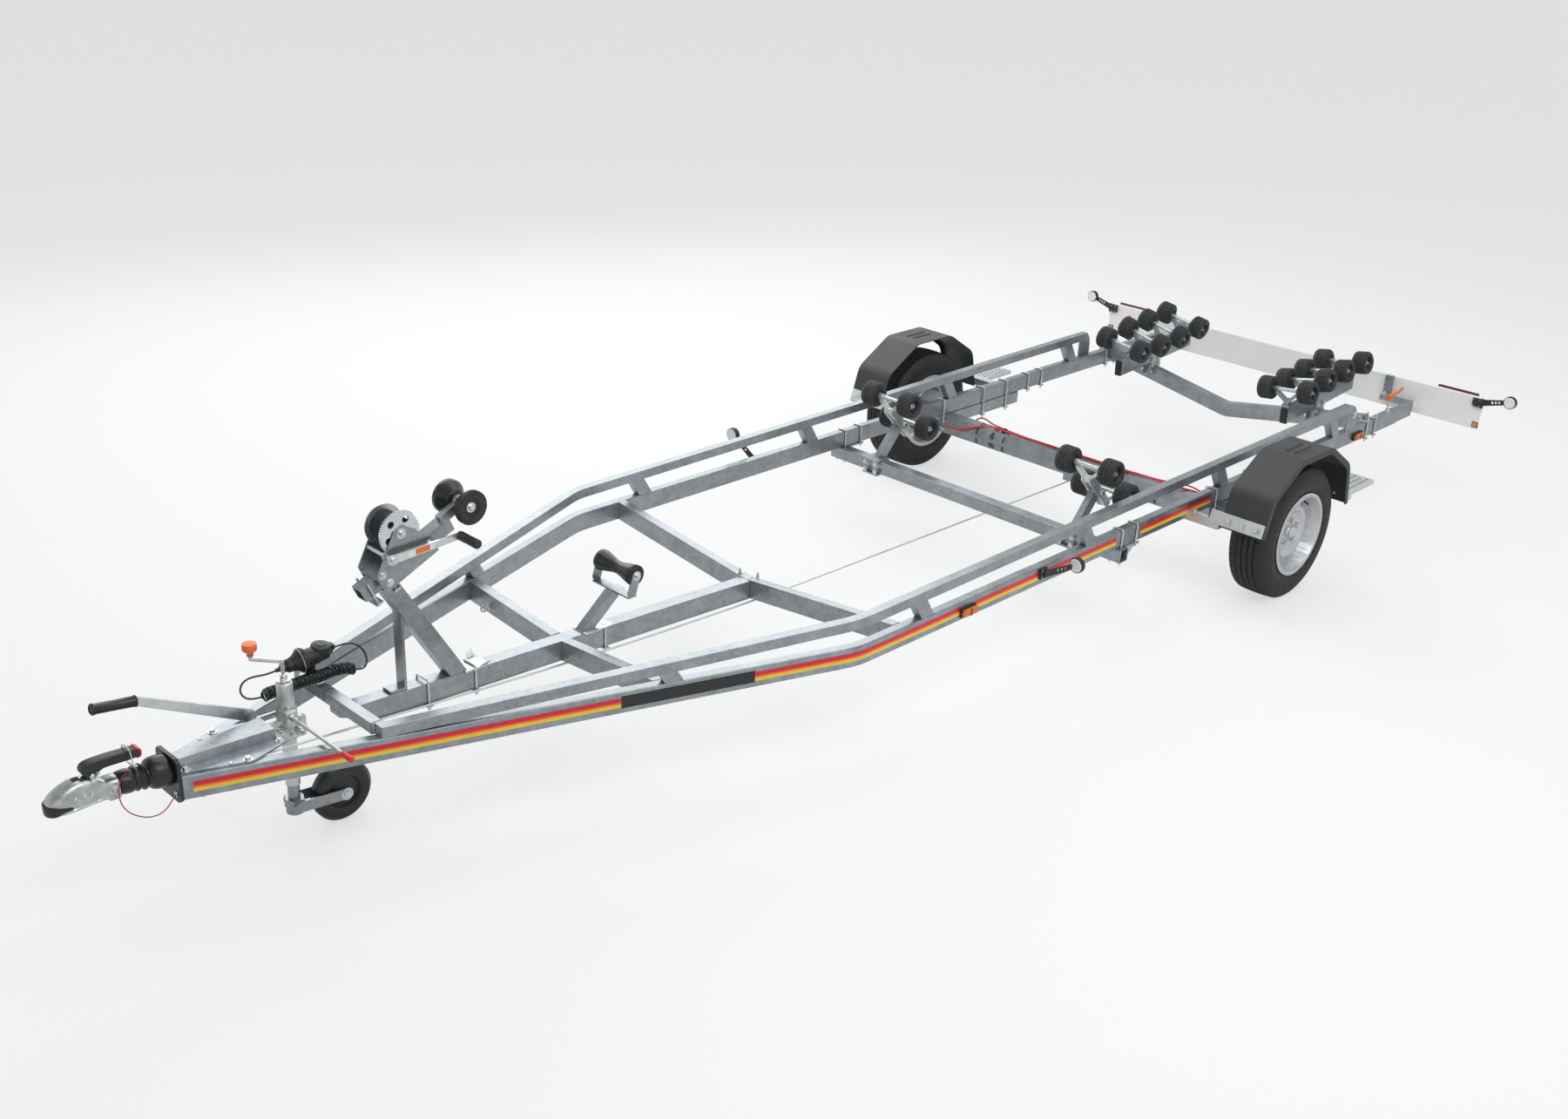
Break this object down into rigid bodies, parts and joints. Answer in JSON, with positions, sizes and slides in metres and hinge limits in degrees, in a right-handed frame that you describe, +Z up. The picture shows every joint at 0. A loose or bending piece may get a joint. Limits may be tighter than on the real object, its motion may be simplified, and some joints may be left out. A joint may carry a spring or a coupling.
{
  "type": "boat trailer",
  "caption": "Single-axle galvanised boat trailer with swinging hull rollers, winch post, keel roller, overrun coupling, jockey wheel and sliding light board.",
  "frame": {"origin": "on the ground under the middle of the trailer's length and width", "axes": "+X forward to the coupling, +Y to the trailer's left, +Z up"},
  "size_m": [7.129, 2.6838, 1.1197],
  "materials": {
    "galvanised": "satin",
    "zinc": "gloss",
    "silver_paint": "satin",
    "black_paint": "satin",
    "white_paint": "satin",
    "tyre": "matte",
    "rubber": "satin",
    "black_plastic": "satin",
    "webbing": "matte",
    "red_plastic": "gloss",
    "amber_lens": "gloss",
    "red_lens": "gloss",
    "black_cord": "satin"
  },
  "bodies": {
    "frame": {"main_rail_left": "galvanised", "main_rail_right": "galvanised", "upper_rail_left": "galvanised", "upper_rail_right": "galvanised", "rail_standoffs": "galvanised", "centre_beam": "galvanised", "cross_members": "galvanised", "axle": "galvanised", "fenders": "black_plastic", "fender_mounts": "galvanised", "coupling_housing": "galvanised", "rail_end_plate": "black_paint", "bellows": "rubber", "jockey_clamp": "galvanised", "winch_post": "galvanised", "winch_arm": "galvanised", "roller_posts": "galvanised", "rear_roller_beams": "galvanised", "brake_rod": "zinc", "brake_cables": "red_plastic", "side_lamps": "amber_lens", "plug": "black_plastic", "plug_holder": "black_plastic", "curly_cord": "black_cord", "plug_lead": "black_cord", "socket_lead": "black_cord", "breakaway_cable": "red_plastic"},
    "wheel_left": {"rim_left": "silver_paint", "tyre_left": "tyre"},
    "wheel_right": {"rim_right": "silver_paint", "tyre_right": "tyre"},
    "coupling": {"coupling_head": "zinc", "coupling_handle": "black_plastic"},
    "handbrake": {"handbrake_lever": "zinc"},
    "jockey_leg": {"jockey_inner_tube": "galvanised"},
    "jockey_caster": {"jockey_fork": "galvanised"},
    "jockey_roller": {"jockey_wheel": "rubber"},
    "jockey_handle": {"jockey_crank": "zinc"},
    "winch_reel": {"winch_drum": "zinc", "winch_strap": "webbing"},
    "winch_handle": {"winch_crank": "zinc"},
    "bow_stop": {"bow_roller": "rubber"},
    "keel_support": {"keel_roller": "rubber"},
    "rocker_arm_left": {"rocker_left": "galvanised"},
    "rocker_arm_right": {"rocker_right": "galvanised"},
    "light_bar": {"light_board": "white_paint", "board_carriers": "galvanised", "board_lamps": "red_lens"},
    "rocker_pair_front_left": {"rocker_rollers_front_left": "rubber"},
    "rocker_pair_front_right": {"rocker_rollers_front_right": "rubber"},
    "rocker_pair_rear_left": {"rocker_rollers_rear_left": "rubber"},
    "rocker_pair_rear_right": {"rocker_rollers_rear_right": "rubber"},
    "rear_pair_first_left": {"rear_rollers_first_left": "rubber"},
    "rear_pair_first_right": {"rear_rollers_first_right": "rubber"},
    "rear_pair_second_left": {"rear_rollers_second_left": "rubber"},
    "rear_pair_second_right": {"rear_rollers_second_right": "rubber"},
    "rear_pair_third_left": {"rear_rollers_third_left": "rubber"},
    "rear_pair_third_right": {"rear_rollers_third_right": "rubber"},
    "rear_pair_fourth_left": {"rear_rollers_fourth_left": "rubber"},
    "rear_pair_fourth_right": {"rear_rollers_fourth_right": "rubber"}
  },
  "joints": [
    {"name": "wheel_left_spin", "type": "hinge", "parent": "frame", "child": "wheel_left", "pos_m": [-1.6155, 1.0975, 0.3145], "axis": [0, 1, 0], "continuous": true},
    {"name": "wheel_right_spin", "type": "hinge", "parent": "frame", "child": "wheel_right", "pos_m": [-1.6155, -1.0975, 0.3145], "axis": [0, 1, 0], "continuous": true},
    {"name": "overrun_slide", "type": "slide", "parent": "frame", "child": "coupling", "axis": [-1, 0, 0], "range_m": [0, 0.09], "deforming": ["bellows"]},
    {"name": "handbrake_pull", "type": "hinge", "parent": "frame", "child": "handbrake", "pos_m": [2.8585, -0.094, 0.492], "axis": [0, -1, 0], "range_deg": [-20, 50]},
    {"name": "jockey_lift", "type": "slide", "parent": "frame", "child": "jockey_leg", "axis": [0, 0, 1], "range_m": [-0.15, 0.05]},
    {"name": "jockey_swivel", "type": "hinge", "parent": "jockey_leg", "child": "jockey_caster", "pos_m": [2.7445, -0.065, 0.128], "axis": [0, 0, 1], "continuous": true},
    {"name": "jockey_roll", "type": "hinge", "parent": "jockey_caster", "child": "jockey_roller", "pos_m": [2.5715, -0.065, 0.11], "axis": [0, 1, 0], "continuous": true},
    {"name": "jockey_crank_turn", "type": "hinge", "parent": "frame", "child": "jockey_handle", "pos_m": [2.7445, -0.065, 0.6], "axis": [0, 0, 1], "continuous": true},
    {"name": "winch_drum_spin", "type": "hinge", "parent": "frame", "child": "winch_reel", "pos_m": [2.35716, 0, 1.03704], "axis": [0, 1, 0], "continuous": true},
    {"name": "winch_crank_turn", "type": "hinge", "parent": "frame", "child": "winch_handle", "pos_m": [2.41112, 0, 0.96803], "axis": [0, 1, 0], "continuous": true},
    {"name": "bow_roller_spin", "type": "hinge", "parent": "frame", "child": "bow_stop", "pos_m": [2.08985, 0, 1.05969], "axis": [0, 1, 0], "continuous": true},
    {"name": "keel_roller_spin", "type": "hinge", "parent": "frame", "child": "keel_support", "pos_m": [1.3995, 0, 0.618], "axis": [0, 1, 0], "continuous": true},
    {"name": "rocker_tilt_left", "type": "hinge", "parent": "frame", "child": "rocker_arm_left", "pos_m": [-0.858, 0.575, 0.5325], "axis": [0, 1, 0], "range_deg": [-20, 20]},
    {"name": "rocker_roll_front_left", "type": "hinge", "parent": "rocker_arm_left", "child": "rocker_pair_front_left", "pos_m": [-0.7855, 0.575, 0.665], "axis": [0, 1, 0], "continuous": true},
    {"name": "rocker_roll_rear_left", "type": "hinge", "parent": "rocker_arm_left", "child": "rocker_pair_rear_left", "pos_m": [-0.9305, 0.575, 0.52], "axis": [0, 1, 0], "continuous": true},
    {"name": "rocker_tilt_right", "type": "hinge", "parent": "frame", "child": "rocker_arm_right", "pos_m": [-0.858, -0.575, 0.5325], "axis": [0, 1, 0], "range_deg": [-20, 20]},
    {"name": "rocker_roll_front_right", "type": "hinge", "parent": "rocker_arm_right", "child": "rocker_pair_front_right", "pos_m": [-0.7855, -0.575, 0.665], "axis": [0, 1, 0], "continuous": true},
    {"name": "rocker_roll_rear_right", "type": "hinge", "parent": "rocker_arm_right", "child": "rocker_pair_rear_right", "pos_m": [-0.9305, -0.575, 0.52], "axis": [0, 1, 0], "continuous": true},
    {"name": "rear_roll_first_left", "type": "hinge", "parent": "frame", "child": "rear_pair_first_left", "pos_m": [-2.64994, 0.503, 0.61195], "axis": [0.0081, 0.9932, 0.1164], "continuous": true},
    {"name": "rear_roll_first_right", "type": "hinge", "parent": "frame", "child": "rear_pair_first_right", "pos_m": [-2.64994, -0.503, 0.61195], "axis": [-0.0081, 0.9932, -0.1164], "continuous": true},
    {"name": "rear_roll_second_left", "type": "hinge", "parent": "frame", "child": "rear_pair_second_left", "pos_m": [-2.84355, 0.4965, 0.62436], "axis": [0.0157, 0.9744, 0.2244], "continuous": true},
    {"name": "rear_roll_second_right", "type": "hinge", "parent": "frame", "child": "rear_pair_second_right", "pos_m": [-2.84355, -0.4965, 0.62436], "axis": [-0.0157, 0.9744, -0.2244], "continuous": true},
    {"name": "rear_roll_third_left", "type": "hinge", "parent": "frame", "child": "rear_pair_third_left", "pos_m": [-3.03708, 0.4965, 0.63789], "axis": [0.0157, 0.9744, 0.2244], "continuous": true},
    {"name": "rear_roll_third_right", "type": "hinge", "parent": "frame", "child": "rear_pair_third_right", "pos_m": [-3.03708, -0.4965, 0.63789], "axis": [-0.0157, 0.9744, -0.2244], "continuous": true},
    {"name": "rear_roll_fourth_left", "type": "hinge", "parent": "frame", "child": "rear_pair_fourth_left", "pos_m": [-3.23056, 0.49927, 0.652], "axis": [0.0125, 0.9839, 0.1784], "continuous": true},
    {"name": "rear_roll_fourth_right", "type": "hinge", "parent": "frame", "child": "rear_pair_fourth_right", "pos_m": [-3.23056, -0.49927, 0.652], "axis": [-0.0125, 0.9839, -0.1784], "continuous": true},
    {"name": "light_bar_slide", "type": "slide", "parent": "frame", "child": "light_bar", "axis": [-1, 0, 0], "range_m": [-0.12, 0.5]}
  ],
  "couplings": [
    {"joint": "winch_crank_turn", "follows": "winch_drum_spin", "ratio": -5.6}
  ]
}
